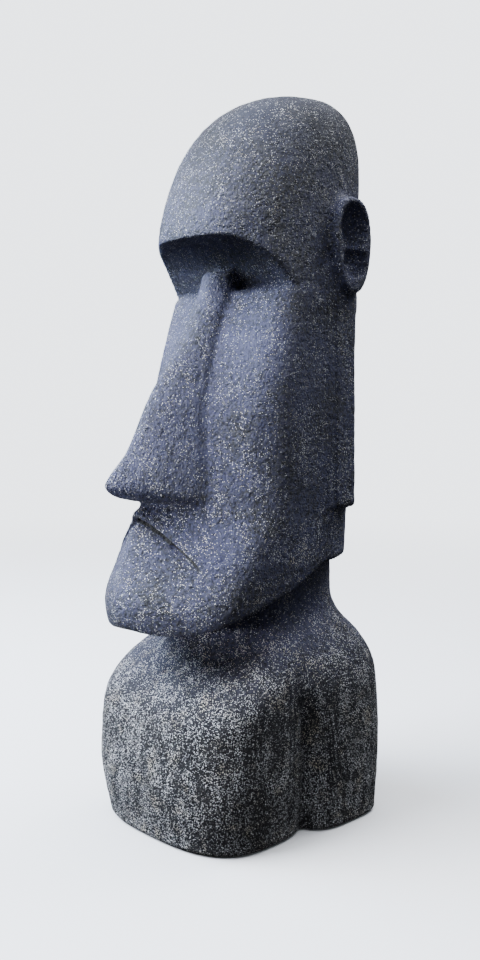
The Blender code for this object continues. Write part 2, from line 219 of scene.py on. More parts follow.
def skull(x, y, z):
    """The upper head less the brow's cut. The rise is the share of the crown's height,
    made larger toward the front, so the crown is lower in front than behind."""
    forward = np.clip(CROWN_BACK - y, 0, CROWN_LEAN_REACH)
    lean = 1 + CROWN_LEAN * forward / (HEIGHT - CROWN_START)
    rise = np.maximum(z - CROWN_START, 0) * lean / (HEIGHT - CROWN_START)
    shrink = [dome(np.clip(rise, 0, 1), square) for square in CROWN_SQUARE]
    plan = head_plan(x, y, z, along(z, SKULL_FRONT), SKULL_SQUARE, shrink)
    cap = trim(plan, (rise - 1) * (HEIGHT - CROWN_START), CROWN_ROUND)
    cap = trim(cap, BROW_SLANT * (along(y, BROW_CUT) - z), BROW_ROUND)
    return trim(cap, CHEEK_TOP - SKULL_SUNK - z, SKULL_ROUND)


print("the dome starts", round(HEIGHT - CROWN_START, 2), "m below the top")

# %% [markdown]
# ## Face and mouth
# The face has two flat sides and one front. Seen from above the front is a prow: nearly
# flat across the cheekbones, and more and more pointed toward the chin. Where front and
# side meet, the corner is worn round, and it runs the whole way down the head. Trimming
# the sides' rule by the front's makes that corner with no seam to hide.
# The mouth is one frowning line, cut with a narrow tool. The lip above it has a keel.

# %% Face
FACE_FRONT = [(0.25, -0.208), (0.27, -0.216), (0.30, -0.223), (0.35, -0.210), (0.40, -0.197),
              (0.44, -0.174), (0.56, -0.125), (0.64, -0.088), (0.72, -0.050)]
PROW = [(0.27, 0.064), (0.32, 0.067), (0.37, 0.080), (0.41, 0.094), (0.44, 0.086),
        (0.51, 0.064), (0.565, 0.046), (0.66, 0.026), (0.72, 0.016)]
PROW_AT = 0.110
PROW_POWER = [(0.32, 1.5), (0.37, 1.3), (0.41, 1.12), (0.46, 1.3), (0.56, 1.7)]
CORNER, CHEEK_ROUND = [(0.30, 0.026), (0.50, 0.030), (0.72, 0.030)], 0.006


def prow_line(z, out):
    """Where the front of the face lies, some way out from its middle: the front profile
    plus the prow's depth times (out over a set width) to a power."""
    return along(z, FACE_FRONT) + along(z, PROW) * (out / PROW_AT) ** along(z, PROW_POWER)


def face(x, y, z):
    """Two sides and the back of the head's plan, cut in front to the prow, whose rule is
    divided by the prow's own slant to bring it near a distance."""
    middle, half = along(z, HEAD_MIDDLE), along(z, HEAD_HALF)
    back = head_plan(x, y, z, along(z, FACE_FRONT), BACK_SQUARE)
    sides = np.where(y < middle, np.abs(x) - half, back)
    front = (prow_line(z, np.abs(x)) - y) / np.hypot(1, along(z, PROW) / PROW_AT)
    return trim(trim(sides, front, along(z, CORNER)), z - CHEEK_TOP, CHEEK_ROUND)


print("the face ends", CHEEK_TOP, "m up, in the shade of the brow")

# %% Mouth
MOUTH_MID, MOUTH_HALF, MOUTH_DROP, MOUTH_BOW = 0.411, 0.078, 0.056, 1.15
MOUTH_DEPTH, MOUTH_WIDTH, MOUTH_END, MOUTH_FADE, MOUTH_LAST = 0.012, 0.0036, 1.15, 0.4, 1.5
LIP_BEAD, BEAD_OFF, BEAD_ABOVE, BEAD_BELOW, BEAD_LESS = 0.003, 0.009, 0.005, 0.004, 0.6
KEEL_HALF, KEEL_PROUD, KEEL_START, LIP_HEIGHT = 0.020, 0.006, 0.004, 0.050


def mouth(x, z):
    """How much the mouth takes off the face. Its line drops by the share of the way out,
    to a power. A bell is cut along it, a smaller bell is left proud above and below, and
    the keel rises in the middle of the upper lip."""
    out = np.clip(np.abs(x) / MOUTH_HALF, 0, MOUTH_LAST)
    above = z - MOUTH_MID + MOUTH_DROP * out ** MOUTH_BOW
    cut = (MOUTH_DEPTH * swell(above, 0, MOUTH_WIDTH)
           - LIP_BEAD * (swell(above, BEAD_OFF, BEAD_ABOVE)
                         + BEAD_LESS * swell(above, -BEAD_OFF, BEAD_BELOW)))
    cut = cut * np.clip((MOUTH_END - out) / MOUTH_FADE, 0, 1)
    keel = (KEEL_PROUD * np.clip(1 - np.abs(x) / KEEL_HALF, 0, 1)
            * np.clip(above / KEEL_START, 0, 1) * np.clip(1 - above / LIP_HEIGHT, 0, 1))
    return cut - keel


print("the mouth is cut", round(float(mouth(0.0, MOUTH_MID)) * 1000, 1), "mm deep in its middle")

# %% [markdown]
# ## Nose
# The nose is a wedge. It starts as a narrow ridge in the shade of the brow, and widens
# and stands further out as it comes down, to a flat underside that slants up forward.
# Low down each level section is a V with a worn ridge. Higher up it turns into a bar with
# a flat front and steep flanks, so the section's power rises with the level.

# %% Nose
NOSE_RIDGE = [(0.40, -0.250), (0.455, -0.241), (0.50, -0.205), (0.56, -0.173),
              (0.69, -0.087), (0.76, -0.064)]
NOSE_HALF = [(0.44, 0.066), (0.50, 0.057), (0.60, 0.041), (0.66, 0.032), (0.76, 0.026)]
NOSE_POWER = [(0.44, 1.5), (0.50, 1.45), (0.60, 1.6), (0.68, 2.0)]
NOSE_THIN, NOSE_SLANT, NOSE_TOP, NOSE_TOP_ROUND = 0.004, 0.6, 0.742, 0.012
NOSE_FOOT, NOSE_FOOT_RISE, NOSE_FOOT_AT, NOSE_FOOT_ROUND = 0.449, 0.14, -0.19, 0.003
NOSE_UNDER, NOSE_UNDER_FADE, NOSE_STEP, NOSE_SIDE_ROUND = 0.015, 0.008, 0.005, 0.004


def nose(x, y, z):
    """Ridge plus depth times (|x| over half) to a power gives the front surface, which
    ends one step proud of the cheek. The underside drops the farther in it lies: by its
    full drop times 1 less e to the minus depth over the fade."""
    ridge, half = along(z, NOSE_RIDGE), along(z, NOSE_HALF)
    depth = np.maximum(prow_line(z, half) - NOSE_STEP - ridge, NOSE_THIN)
    wedge = NOSE_SLANT * (ridge + depth * (np.abs(x) / half) ** along(z, NOSE_POWER) - y)
    foot = NOSE_FOOT - NOSE_FOOT_RISE * (y - NOSE_FOOT_AT)
    foot = foot - NOSE_UNDER * (1 - np.exp(-np.maximum(-wedge, 0) / NOSE_UNDER_FADE))
    wedge = trim(wedge, SLANT * (foot - z), NOSE_FOOT_ROUND)
    wedge = trim(wedge, np.maximum(y, z - NOSE_TOP), NOSE_TOP_ROUND)
    return trim(wedge, SLANT * (np.abs(x) - half), NOSE_SIDE_ROUND)


print("the nose is", 2 * max(half for _, half in NOSE_HALF), "m wide at its foot")

# %% [markdown]
# ## Ears
# Each ear is an oval pad standing a little off the skull, hollowed in two cups with a
# shelf between them. Below it the lobe hangs as a long straight band beside the jaw.
# Egg-shaped cuts give the cups their soft rims, and working with the distance out from
# the middle makes both ears at once.

# %% Ears
EAR_Y, EAR_Z, EAR_RY, EAR_RZ, EAR_SQUARE = 0.079, 0.777, 0.034, 0.067, 2.6
EAR_OUT, EAR_FLARE, EAR_IN, EAR_TAPER, EAR_ROUND = 0.137, 0.10, 0.090, 0.22, 0.005
HOLLOWS = [(0.023, 0.023, 0.034), (-0.021, 0.019, 0.020)]
HOLLOW_DEPTH, HOLLOW_ROUND = 0.016, 0.003
LOBULE_UP, LOBULE_REACH, LOBULE_FADE = -0.024, 0.019, 0.008
GROOVE_DEPTH, GROOVE_WIDTH = 0.005, 0.0022
LOBE_Y, LOBE_HALF, LOBE_OUT, LOBE_TOP, LOBE_BOTTOM = 0.064, 0.028, 0.1285, 0.750, 0.418
LOBE_STEP_Y, LOBE_STEP, LOBE_STEP_WIDTH, LOBE_ROUND = 0.053, 0.0025, 0.002, 0.005
LOBE_FILLET, EAR_IN_ROUND = 0.004, 0.004


def ear(x, y, z):
    """A pad whose face turns forward, less two egg-shaped hollows and a curved groove
    round the lobule, joined to the lobe, a long band with a step along it. The hollow's
    rule is 1 less the length of the offsets, each over its own radius."""
    out = np.abs(x)
    face_out = EAR_OUT + EAR_FLARE * (y - EAR_Y)
    narrow = 1 - EAR_TAPER * np.clip((EAR_Z - z) / EAR_RZ, 0, 1)
    ring = ((np.abs(y - EAR_Y) / (EAR_RY * narrow)) ** EAR_SQUARE
            + (np.abs(z - EAR_Z) / EAR_RZ) ** EAR_SQUARE) ** (1 / EAR_SQUARE)
    pad = trim((ring - 1) * EAR_RY, out - face_out, EAR_ROUND)
    for up, across, tall in HOLLOWS:
        egg = np.sqrt(((out - face_out) / HOLLOW_DEPTH) ** 2 + ((y - EAR_Y) / across) ** 2
                      + ((z - EAR_Z - up) / tall) ** 2)
        pad = trim(pad, (1 - egg) * HOLLOW_DEPTH, HOLLOW_ROUND)
    around = np.hypot(y - EAR_Y, z - EAR_Z - LOBULE_UP)
    below = np.clip((EAR_Z + LOBULE_UP - z) / LOBULE_FADE, 0, 1)
    pad = pad + GROOVE_DEPTH * swell(around, LOBULE_REACH, GROOVE_WIDTH) * below
    band = LOBE_OUT - LOBE_STEP * np.clip((LOBE_STEP_Y - y) / LOBE_STEP_WIDTH, 0, 1)
    lobe = trim(np.abs(y - LOBE_Y) - LOBE_HALF, out - band, LOBE_ROUND)
    centre, reach = (LOBE_TOP + LOBE_BOTTOM) / 2, (LOBE_TOP - LOBE_BOTTOM) / 2
    lobe = trim(lobe, np.abs(z - centre) - reach, LOBE_ROUND)
    return trim(join(pad, lobe, LOBE_FILLET), EAR_IN - out, EAR_IN_ROUND)


print("each ear is", 2 * EAR_RZ, "m tall, and its lobe hangs to", LOBE_BOTTOM, "m")

# %% [markdown]
# ## The whole block
# The jaw's edge rises from the chin to the ears, and all below it is cut away from the
# head. Then head, nose, ears and torso are joined, each with the fillet seen there.

# %% One rule for the stone
JAW_EDGE = [(-0.25, 0.290), (-0.214, 0.276), (-0.195, 0.270), (-0.17, 0.274), (-0.12, 0.289),
            (-0.04, 0.309), (0.045, 0.346), (0.20, 0.352)]
BROW_FILLET, JAW_ROUND, NOSE_FILLET, EAR_FILLET, JAW_FILLET = 0.004, 0.005, 0.004, 0.005, 0.010


def stone(x, y, z):
    """Head cut under the jaw, joined to the nose, the ears and the torso."""
    front = face(x, y, z) + np.where(y < 0, mouth(x, z), 0)
    head = join(skull(x, y, z), front, BROW_FILLET)
    head = trim(head, SLANT * (along(y, JAW_EDGE) - z), JAW_ROUND)
    head = join(head, nose(x, y, z), NOSE_FILLET)
    head = join(head, ear(x, y, z), EAR_FILLET)
    return join(torso(x, y, z), head, JAW_FILLET)


probe = [np.full(1, place) for place in (0.0, 0.0, 0.6)]
print("inside the head the rule gives", round(float(stone(*probe)[0]), 3), "m")

# %% [markdown]
# ## From rules to a skin
# A grid of rays leaves the statue's spine, one row of rays for each level and one column
# for each turn about the spine. In front the rays tip downward by an amount that changes
# with the level, so they meet the undersides of nose and jaw squarely. Above the last
# level they fan up to the crown. Where a ray last leaves the stone is a point of the skin.
# Near the mouth the rows sag to either side, so that they run along its line and not
# across it.

# %% Rays from the spine
CROWN_LEVEL, REACH, MARCH, HALVINGS = 0.86, 0.45, 45, 14
SPINE_Y = [(0.0, 0.04), (0.15, 0.03), (0.34, -0.01), (0.60, 0.02), (0.86, 0.05)]
RAY_DROP = [(0.0, 0.0), (0.15, 0.12), (0.33, 0.70), (0.42, 0.62), (0.52, 0.36), (0.66, 0.05),
            (0.86, 0.0)]
SAG, SAG_LEVEL, SAG_TALL, SAG_TURN, SAG_MOST, SAG_LAST_TURN = 0.050, 0.478, 0.09, 0.47, 1.2, 1.6


def skin(travel, turn):
    """Points where rays leave the stone. Travel runs 0 to 1 up the spine and 1 to 2
    through the crown's fan, and turn is the angle about the spine from the front. Even
    steps inward find the first point in the stone, and halving the last step refines it."""
    level = CROWN_LEVEL * np.clip(travel, 0, 1)
    bend = (np.clip(np.abs(turn) / SAG_TURN, 0, SAG_MOST) ** MOUTH_BOW
            * swell(level, SAG_LEVEL, SAG_TALL))
    level = level - SAG * bend * np.clip(SAG_LAST_TURN - np.abs(turn), 0, 1)
    tilt = 0.5 * math.pi * np.clip(travel - 1, 0, 1)
    ray = np.stack([np.sin(turn) * np.cos(tilt), -np.cos(turn) * np.cos(tilt),
                    np.sin(tilt) - along(level, RAY_DROP) * np.cos(turn) * np.cos(tilt)])
    ray /= np.sqrt((ray ** 2).sum(axis=0))
    start = np.stack([0 * level, along(level, SPINE_Y), level])
    outside, inside = np.full(level.shape, REACH), np.zeros(level.shape)
    unmet = np.ones(level.shape, bool)
    for far in np.linspace(REACH, 0.0, MARCH + 1)[1:]:
        met = unmet & (stone(*(start + ray * far)) < 0)
        inside = np.where(met, far, inside)
        unmet &= ~met
        outside = np.where(unmet, far, outside)
    for _ in range(HALVINGS):
        middle = (inside + outside) / 2
        solid = stone(*(start + ray * middle)) < 0
        inside, outside = np.where(solid, middle, inside), np.where(solid, outside, middle)
    return start + ray * (inside + outside) / 2


foremost = skin(np.array([SAG_LEVEL]), np.zeros(1))[1, 0]
print("a ray to the front leaves the stone at y =", round(float(foremost), 3), "m")

# %% [markdown]
# ## Where rows and columns go
# A fixed number of faces has to be spent where the carving is. The columns crowd together
# at nose and ears, and the rows where the front's outline turns most. A few lines drawn
# down the skin first show how fast each moves with the travel, and the rows share that
# pace out evenly.

# %% Rows and columns
COLUMNS, ROWS = ((258, 376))
NOSE_CROWD, NOSE_SPREAD = 1.6, 0.36
EAR_CROWD, EAR_TURN, EAR_SPREAD = 1.3, 1.92, 0.30
MOUTH_CROWD, MOUTH_TRAVEL, MOUTH_SPREAD = 1.4, 0.555, 0.04
FINE_TURNS, FINE_TRAVELS, TOP_PACE, SMOOTHING = 1441, 900, 6.0, 10
SAMPLE_TURNS = np.array([0.0, 0.12, 0.35, 1.2, 1.9, 3.14])
FIRST_TRAVEL = 0.0003


def even_steps(position, weight, count):
    """Count positions, placed so that equal weight lies between each two of them."""
    share = (weight[1:] + weight[:-1]) / 2 * np.diff(position)
    total = np.concatenate([[0], np.cumsum(share)])
    return np.interp(np.linspace(0, total[-1], count), total, position)


around = np.linspace(-math.pi, math.pi, FINE_TURNS)
crowd = (1 + NOSE_CROWD * swell(around, 0, NOSE_SPREAD)
         + EAR_CROWD * (swell(around, EAR_TURN, EAR_SPREAD)
                        + swell(around, -EAR_TURN, EAR_SPREAD)))
turns = even_steps(around, crowd, COLUMNS + 1)[:-1]
coarse = np.linspace(0, 2, FINE_TRAVELS)
lines = skin(*np.meshgrid(coarse, SAMPLE_TURNS, indexing="ij"))
pace = np.sqrt((np.gradient(lines, coarse, axis=1) ** 2).sum(axis=0))
pace = (np.minimum(pace, TOP_PACE).max(axis=1)
        * (1 + MOUTH_CROWD * swell(coarse, MOUTH_TRAVEL, MOUTH_SPREAD)))
window = np.ones(2 * SMOOTHING + 1) / (2 * SMOOTHING + 1)
pace = np.convolve(np.pad(pace, SMOOTHING, mode="edge"), window, mode="valid")
travels = even_steps(coarse, pace, ROWS)
travels[0] = FIRST_TRAVEL
grid = skin(*np.meshgrid(travels, turns, indexing="ij"))
print("skin of", grid.shape[1], "rows and", grid.shape[2], "columns")

# %% [markdown]
# ## Evening out the skin
# Rays meet a steep flank at a slant and leave long thin faces there. A few rounds of
# relaxing help: each point moves toward the middle of its four neighbours, and then back
# onto the stone along the rule's own slope. The shape stays, and only the spacing changes.

# %% Slope, and a few rounds of relaxing
ROUNDS, PULL = 7, 0.5
READING, BROAD_READING, LEAST_SLOPE = 0.0004, 0.0015, 0.05


def slope(points, reach=READING):
    """The rule's rise along X, Y and Z: the difference of two readings on either side,
    over the distance between them."""
    rises = []
    for axis in range(3):
        shift = np.zeros((3, 1, 1))
        shift[axis] = reach
        rises.append((stone(*(points + shift)) - stone(*(points - shift))) / (2 * reach))
    return np.stack(rises)


def settle(points):
    """Move by minus the rule times its slope, over the slope squared."""
    rise = slope(points)
    return points - rise * stone(*points) / np.maximum((rise ** 2).sum(axis=0), LEAST_SLOPE)


for _ in range(ROUNDS):
    inner = grid[:, 1:-1]
    mean = (np.roll(inner, 1, axis=2) + np.roll(inner, -1, axis=2)
            + grid[:, :-2] + grid[:, 2:]) / 4
    grid[:, 1:-1] = settle(inner + PULL * (mean - inner))
outward = slope(grid, BROAD_READING)
outward /= np.sqrt((outward ** 2).sum(axis=0))
off = float(np.abs(stone(*grid)).max())
print("farthest from the true surface:", round(off * 1000, 2), "mm")

# %% [markdown]
# ## The pecked skin
# A mason dresses such a stone with a pointed tool, and each blow leaves a shallow bowl
# that cuts into its neighbours. Only crests are left standing between the bowls.
# Scattered points with a bowl around each one give that pattern: the depth falls with
# the squared distance to the nearest point. The bowls only ever cut inward, so the statue
# keeps its size. The finest bowls are left to the finish, where they cost no faces.

# %% Bowls around scattered points
def scatter(cell, salt):
    """Three numbers from 0 to 1 for each cell: the fraction of a large sine. The odd
    factors only have to be large and unrelated, so that no pattern shows."""
    mix = cell[0] * 127.1 + cell[1] * 311.7 + cell[2] * 74.7 + salt
    return np.stack([np.modf(np.abs(np.sin(mix + 1.7 * k)) * 43758.5)[0] for k in range(3)])


def bowls(points, size, salt):
    """Squared distance to the nearest scattered centre, in cells: 0 in a bowl, near 1 on
    a crest. Each cell of the given size holds one centre."""
    place = points / size
    cell = np.floor(place)
    nearest = np.full(points.shape[1:], 9.0)
    for step in np.ndindex(3, 3, 3):
        neighbour = cell + (np.array(step) - 1).reshape(3, 1, 1)
        gap = neighbour + scatter(neighbour, salt) - place
        nearest = np.minimum(nearest, (gap ** 2).sum(axis=0))
    return np.clip(nearest, 0, 1)


def lumps(points, size, salt):
    """Slow swells: sines along three slanted directions, added."""
    x, y, z = points * (math.tau / size)
    return (np.sin(x + 0.6 * z + salt) + np.sin(y - 0.5 * x + 2 * salt)
            + np.sin(0.9 * z + 0.4 * y + 3 * salt)) / 3


print("one cell's scattered centre:", scatter(np.ones(3), 0.0).round(2))

# %% [markdown]
# ## Laying the relief on the skin
# Bowls in square cells would line up. The points are first pushed about by slow swells,
# so the rows of bowls wander as a mason's blows do. The relief fades out at the foot,
# which has to stay flat.

# %% Relief
BOWL, BOWL_DEPTH = 0.0115, 0.0008
LUMP, LUMP_DEPTH, FOOT_FADE = 0.11, 0.0006, 0.010
WANDER, WANDER_SIZES = 0.004, (0.031, 0.027, 0.035)
push = [lumps(grid, size, salt) for size, salt in zip(WANDER_SIZES, (1.0, 2.0, 3.0))]
crest = bowls(grid + WANDER * np.stack(push), BOWL, 0.0)
depth = BOWL_DEPTH * (1 - crest) + LUMP_DEPTH * (1 + lumps(grid, LUMP, 4.0)) / 2
depth *= np.clip(grid[2] / FOOT_FADE, 0, 1)
pecked = grid - outward * depth
pecked[2] = np.clip(pecked[2], 0, None)
pecked[2, 0] = 0.0
print("relief up to", round(float(depth.max()) * 1000, 2), "mm deep")

# %% [markdown]
# ## Making the mesh
# The grid becomes quads, row by row, and the last column joins the first. The crown ends
# in one point, and the flat underside is closed the same way with a fan. The edge of the
# underside is marked sharp, so the foot stays flat and crisp.

# %% Grid to mesh
def closed_skin(name, points):
    """Quads between neighbouring rows and columns, a fan over the crown and one below."""
    rows, columns = points.shape[1], points.shape[2]
    ring = np.arange(columns)
    after = np.roll(ring, -1)
    base = np.arange(rows - 2)[:, None] * columns
    quads = np.stack([base + ring, base + after, base + columns + after,
                      base + columns + ring], axis=-1).reshape(-1, 4)
    crown, foot = (rows - 1) * columns, (rows - 1) * columns + 1
    top = np.stack([(rows - 2) * columns + ring, (rows - 2) * columns + after,
                    np.full(columns, crown)], axis=-1)
    below = np.stack([after, ring, np.full(columns, foot)], axis=-1)
    places = points[:, :-1].reshape(3, -1).T
    ends = np.array([points[:, -1].mean(axis=1), [0.0, points[1, 0].mean(), 0.0]])
    mesh = bpy.data.meshes.new(name)
    mesh.from_pydata(np.vstack([places, ends]).tolist(), [],
                     quads.tolist() + top.tolist() + below.tolist())
    mesh.shade_smooth()
    pairs = np.zeros(len(mesh.edges) * 2, dtype=np.int32)
    mesh.edges.foreach_get("vertices", pairs)
    rim = (pairs.reshape(-1, 2) < columns).all(axis=1)
    sharp = mesh.attributes.new("sharp_edge", "BOOLEAN", "EDGE")
    sharp.data.foreach_set("value", rim)
    piece = bpy.data.objects.new(name, mesh)
    bpy.context.scene.collection.objects.link(piece)
    return piece


statue = closed_skin("pecked_statue", pecked)
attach(statue, "root")
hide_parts("moai_statue")
print(len(statue.data.vertices), "points in the skin")

# %% [markdown]
# ## The finish
# The real finish is a charcoal coat, slightly blue, with pale chips spattered through it.
# It is matt, but at a low angle it still throws back some of the sky.
# It is built in layers, each from solid noise in the object's own space, so nothing
# stretches or shows a seam: two charcoals mixed in clouds, round flecks and larger chips
# over them, and two heights of bump below for lumps and for grain. A few small helpers
# come first, so that each layer can be written in a line or two.

# %% Helpers that add and sum nodes
stone_finish = bpy.data.materials.new("charcoal_stone_fine")
stone_finish.use_nodes = True
tree = stone_finish.node_tree
shader = tree.nodes["Principled BSDF"]


def node(kind, **settings):
    """A new node with its inputs set by name, a link where the value is a socket."""
    made = tree.nodes.new(kind)
    for name, value in settings.items():
        socket = name.replace("_", " ")
        if hasattr(made, name):
            setattr(made, name, value)
        elif isinstance(value, bpy.types.NodeSocket):
            tree.links.new(value, made.inputs[socket])
        else:
            made.inputs[socket].default_value = value
    return made


def sums(operation, first, second=0.0, third=0.0):
    """One step of arithmetic on one to three values or sockets. MULTIPLY_ADD is first
    times second, plus third."""
    made = tree.nodes.new("ShaderNodeMath")
    made.operation = operation
    for socket, value in zip(made.inputs, (first, second, third)):
        if isinstance(value, bpy.types.NodeSocket):
            tree.links.new(value, socket)
        else:
            socket.default_value = value
    return made.outputs[0]


place = node("ShaderNodeTexCoord").outputs["Object"]
axes = node("ShaderNodeSeparateXYZ", Vector=place).outputs
print("a point's place in the statue comes as", [axis.name for axis in axes])

# %% Helpers that fade and mix
def fade(value, low, high, start=0.0, end=1.0):
    """Map low..high to start..end softly: with t the share of the way from low to high,
    the share of the way from start to end is 3 t squared less 2 t cubed."""
    made = node("ShaderNodeMapRange", interpolation_type="SMOOTHSTEP")
    for name, number in (("From Min", low), ("From Max", high), ("To Min", start),
                         ("To Max", end)):
        made.inputs[name].default_value = number
    tree.links.new(value, made.inputs["Value"])
    return made.outputs["Result"]


def blend(share, first, second):
    """The first colour times 1 less the share, plus the second times the share."""
    made = tree.nodes.new("ShaderNodeMix")
    made.data_type = "RGBA"
    tree.links.new(share, made.inputs["Factor"])
    for name, colour in (("A", first), ("B", second)):
        socket = [s for s in made.inputs if s.name == name and s.type == "RGBA"][0]
        if isinstance(colour, bpy.types.NodeSocket):
            tree.links.new(colour, socket)
        else:
            socket.default_value = (*colour, 1.0)
    return [s for s in made.outputs if s.type == "RGBA"][0]


def clouds(scale, detail, stretch=(1.0, 1.0, 1.0)):
    """Solid noise with features about 1 over scale metres across. Each step of detail
    adds noise twice as fine and 0.6 times as strong."""
    turned = node("ShaderNodeMapping", Vector=place)
    turned.inputs["Scale"].default_value = stretch
    return node("ShaderNodeTexNoise", Vector=turned.outputs[0], Scale=scale,
                Detail=detail, Roughness=0.6).outputs["Fac"]


print(len(tree.nodes), "nodes so far")

# %% [markdown]
# ## The charcoal coat
# The coat isn't one colour. It is bluest on the face, black at the foot, and darker on the
# crown as painted shade. One flat colour would look like plastic, so a near black and a
# slate are mixed by broad clouds with fine ones on top, and the slate itself changes with the
# height.

# %% Clouds of two charcoals
CHARCOAL = (0.004, 0.005, 0.010)
# The crown's slate is painted shade for the top of the head.
CROWN_SHADE_SLATE, SLATE_HIGH = (0.010, 0.013, 0.036), (0.053, 0.059, 0.138)
SLATE_LOW = (0.012, 0.011, 0.013)
CROWN_FADE, FOOT_COAT_FADE, LOW_FADE = (0.82, 0.96), (0.31, 0.14), (0.60, 0.0)
BROAD, MOTTLED, MOTTLED_SHARE, MOTTLE_FADE = 9.0, 230.0, 1.2, (0.80, 1.35)
height = axes["Z"]
low_down, foot_coat = fade(height, *LOW_FADE), fade(height, *FOOT_COAT_FADE)
# Toward the top the slate turns to the crown's darker one, which is painted shade.
upper = blend(fade(height, *CROWN_FADE), SLATE_HIGH, CROWN_SHADE_SLATE)
mottle = sums("ADD", clouds(BROAD, 3.0), sums("MULTIPLY", clouds(MOTTLED, 3.0), MOTTLED_SHARE))
charcoal = blend(fade(mottle, *MOTTLE_FADE), CHARCOAL, blend(foot_coat, upper, SLATE_LOW))
print("the foot's coat starts", FOOT_COAT_FADE[0], "m up and is full at", FOOT_COAT_FADE[1])

# %% [markdown]
# ## Lumps and grain too fine for faces
# Between the bowls the skin is pebbly, and finer still it is sandy. Bump changes how the
# surface catches the light without moving it, which is right for relief this small.

# %% Small lumps and grain
PEBBLES, PEBBLE_HEIGHT = 120.0, 0.0095
GRAIN, GRAIN_HEIGHT = 430.0, 0.0050
relief = node("ShaderNodeBump", Height=clouds(PEBBLES, 4.0), Strength=1.0,
              Distance=PEBBLE_HEIGHT)
fine = node("ShaderNodeBump", Height=clouds(GRAIN, 2.0), Strength=1.0,
            Distance=GRAIN_HEIGHT, Normal=relief.outputs[0])
tree.links.new(fine.outputs[0], shader.inputs["Normal"])
print("pebbles about", round(1000 / PEBBLES), "mm, grain about", round(1000 / GRAIN), "mm")

# %% [markdown]
# ## The cut of the mouth
# The narrow cut is painted nearly black as shade in the groove, and no pale chip sits
# down in it. The same line that carved it is worked out again with nodes, the shade is
# painted along it and the flecks are cleared away.

# %% The cut of the mouth, painted dark as shade, with no pale flecks
# The cut's near black is painted shade.
PAINTED_CUT_SHADE = (0.001, 0.001, 0.002)
CUT_EDGE, CUT_ENDS, CUT_FRONT = (0.0034, 0.0018), (MOUTH_END, 0.95), (-0.10, -0.12)
across = sums("ABSOLUTE", axes["X"])
bow = sums("POWER", sums("DIVIDE", across, MOUTH_HALF), MOUTH_BOW)
off_line = sums("ABSOLUTE", sums("ADD", sums("SUBTRACT", height, MOUTH_MID),
                                 sums("MULTIPLY", bow, MOUTH_DROP)))
ends = fade(across, *[MOUTH_HALF * share for share in CUT_ENDS])
near = sums("MULTIPLY", ends, fade(axes["Y"], *CUT_FRONT))
beyond_painted_cut_shade = sums("SUBTRACT", 1.0, sums("MULTIPLY", fade(off_line, *CUT_EDGE), near))
# Along the cut the coat turns to painted shade, and the same mask clears the flecks there.
charcoal = blend(beyond_painted_cut_shade, PAINTED_CUT_SHADE, charcoal)
print("the dark line is", 2 * CUT_EDGE[0] * 1000, "mm wide, with soft edges")

# %% [markdown]
# ## Pale flecks and chips
# Two kinds of pale spot are seen. Fine round flecks are spattered all over, and larger
# torn chips gather low down in upright streaks. The flecks are the cells of a scattered
# pattern, and the chips are noise cut at a level. One number, the density, steers both:
# it grows toward the foot and along the streaks.

# %% Two kinds of spot
FLECK_GROWTH, FLECK_LARGEST, FLECK_EDGE, CHIP_EDGE = 1.6, 0.42, 0.10, 0.03


def flecks(size, share):
    """Round flecks, one for each cell of the given size. The cells whose random number
    lies above 1 less the share show one, and the higher the number the larger it is."""
    cells = node("ShaderNodeTexVoronoi", Vector=place, Scale=1 / size)
    lot = node("ShaderNodeSeparateColor", Color=cells.outputs["Color"]).outputs[0]
    excess = sums("SUBTRACT", lot, sums("SUBTRACT", 1.0, share))
    radius = sums("MINIMUM", sums("MULTIPLY", excess, FLECK_GROWTH), FLECK_LARGEST)
    return fade(sums("SUBTRACT", radius, cells.outputs["Distance"]), 0.0, FLECK_EDGE)


def chips(scale, density, rarest, commonest):
    """Noise cut at a level: the higher the level, the fewer and smaller the chips."""
    level = fade(density, 0.0, 1.0, rarest, commonest)
    above = sums("SUBTRACT", clouds(scale, 1.0), level)
    return fade(above, 0.0, CHIP_EDGE)


print("a fleck is at most", FLECK_LARGEST, "of its cell in radius")

# %% Where the spots gather
STREAK, UPRIGHT, STREAK_FADE = 60.0, (1.0, 1.0, 0.30), (0.35, 0.70, 0.0, 0.55)
LOW_SHARE, FOOT_SHARE = 0.22, 0.30
FLECK_SIZE, FLECK_SHARE = 0.0015, (0.1, 0.9, 0.30, 0.62)
CHIPS, CHIP_RAREST, CHIP_COMMONEST = 640.0, 0.80, 0.60
COOL_PALE, WARM_PALE = (0.95, 0.96, 1.0), (0.92, 0.85, 0.72)
WARM_SPOTS, WARM_FADE = 40.0, (0.45, 0.75)
streaks = fade(clouds(STREAK, 4.0, UPRIGHT), *STREAK_FADE)
lower = sums("MULTIPLY_ADD", low_down, LOW_SHARE, sums("MULTIPLY", foot_coat, FOOT_SHARE))
density = sums("ADD", streaks, lower)
spots = sums("MAXIMUM", flecks(FLECK_SIZE, fade(density, *FLECK_SHARE)),
             chips(CHIPS, density, CHIP_RAREST, CHIP_COMMONEST))
pale = blend(fade(clouds(WARM_SPOTS, 2.0), *WARM_FADE), COOL_PALE, WARM_PALE)
colour = blend(sums("MULTIPLY", spots, beyond_painted_cut_shade), charcoal, pale)
tree.links.new(colour, shader.inputs["Base Color"])
print("flecks in cells of", FLECK_SIZE * 1000, "mm, chips about", round(1000 / CHIPS, 1), "mm")

# %% [markdown]
# ## Matt and less matt
# The coat is smoother in soft patches, and it is dullest on the crown and at the foot.
# How rough it is changes from place to place. How strongly it reflects is one plain
# number on the shader, the same all over.

